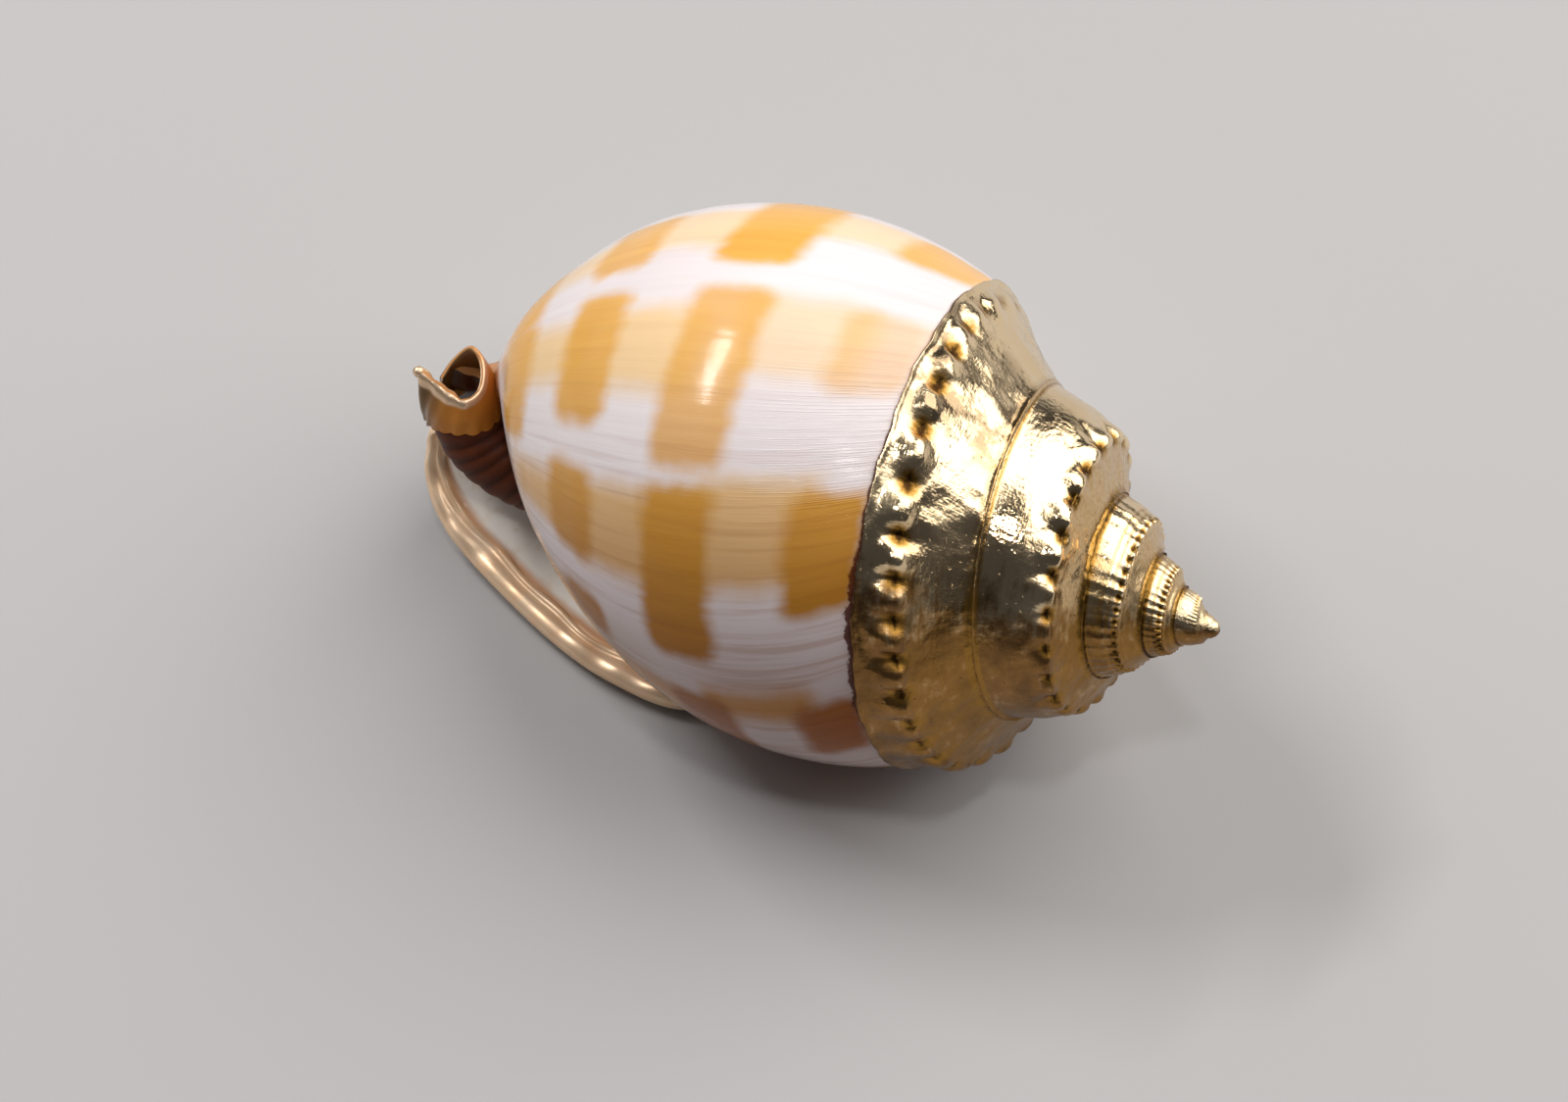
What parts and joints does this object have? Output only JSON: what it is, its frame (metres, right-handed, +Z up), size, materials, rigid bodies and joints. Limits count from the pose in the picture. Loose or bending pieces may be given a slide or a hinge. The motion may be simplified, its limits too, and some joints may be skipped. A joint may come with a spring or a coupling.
{
  "type": "bonnet shell",
  "caption": "Spiral sea shell lying on its mouth, checked with orange squares, with a knobbly metal-gilded spire, a rolled shield rim and an upturned spout.",
  "frame": {"origin": "centre of the footprint box, on the table plane", "axes": "+X towards the apex of the spire, +Y towards the thick outer lip, +Z up from the table"},
  "size_m": [0.069, 0.0444, 0.0389],
  "materials": {
    "shell": "natural gloss",
    "gilding": "polished"
  },
  "bodies": {
    "root": {"shell": "shell", "spire_cap": "gilding"}
  },
  "joints": []
}
